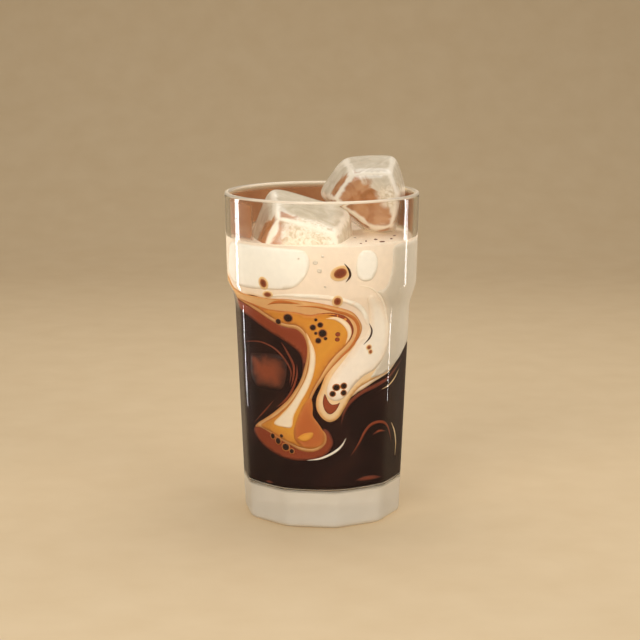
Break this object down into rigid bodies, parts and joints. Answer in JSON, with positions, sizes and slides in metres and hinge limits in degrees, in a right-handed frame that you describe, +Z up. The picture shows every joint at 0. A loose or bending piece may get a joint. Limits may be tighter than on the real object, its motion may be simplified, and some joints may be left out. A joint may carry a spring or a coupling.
{
  "type": "iced cold brew coffee",
  "caption": "Iced cold brew coffee with cream and an amber swirl, in a clear pint glass with flat panels and ice cubes above the rim.",
  "frame": {"origin": "middle of the base, on the surface the glass stands on", "axes": "+Z up the glass, -Y towards the front, where the amber swirl shows, +X to the right of the front"},
  "size_m": [0.088, 0.088, 0.1614],
  "materials": {
    "glass": "clear, polished",
    "coffee": "dark liquid",
    "cream": "opaque liquid",
    "amber": "cloudy liquid",
    "ice": "wet ice with a frosty core"
  },
  "bodies": {
    "root": {"glass": "glass", "coffee": "coffee", "cream": "cream", "amber_swirl": "amber", "ice_front": "ice", "ice_back": "ice"}
  },
  "joints": []
}
